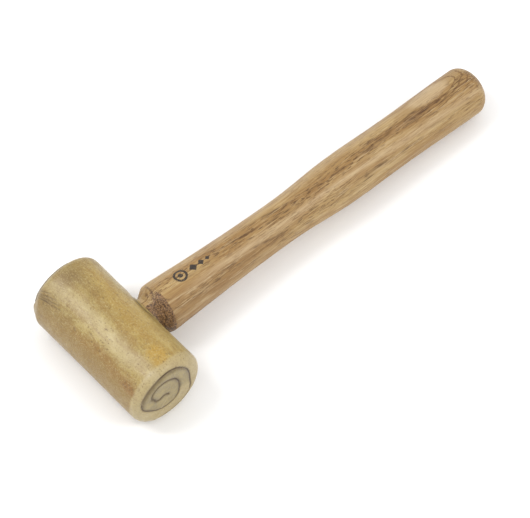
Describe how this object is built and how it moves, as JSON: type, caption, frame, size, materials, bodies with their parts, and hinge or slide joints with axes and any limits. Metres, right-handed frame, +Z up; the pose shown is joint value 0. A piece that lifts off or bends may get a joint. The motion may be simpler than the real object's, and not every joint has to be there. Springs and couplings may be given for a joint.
{
  "type": "rawhide mallet",
  "caption": "Small mallet with a coiled rawhide head on a turned hardwood handle, for shaping sheet metal or driving wood without marks.",
  "frame": {"origin": "on the bench, in the middle of the footprint of the mallet lying on its side", "axes": "+X along the handle from the head to the butt, +Y along the axis of the head from the front striking face to the back one, +Z up from the bench"},
  "size_m": [0.2379, 0.074, 0.038],
  "materials": {
    "rawhide": "satin, honey-coloured dried hide",
    "hide_glue": "dark dried hide glue",
    "handle_wood": "thin satin oil over open-pored hardwood",
    "steel_wire": "dull drawn wire",
    "tack_brass": "dull brass"
  },
  "bodies": {
    "root": {"rawhide_roll": "rawhide", "glue_seam": "hide_glue", "handle": "handle_wood", "retaining_pin": "steel_wire", "lap_tacks": "tack_brass"}
  },
  "joints": []
}
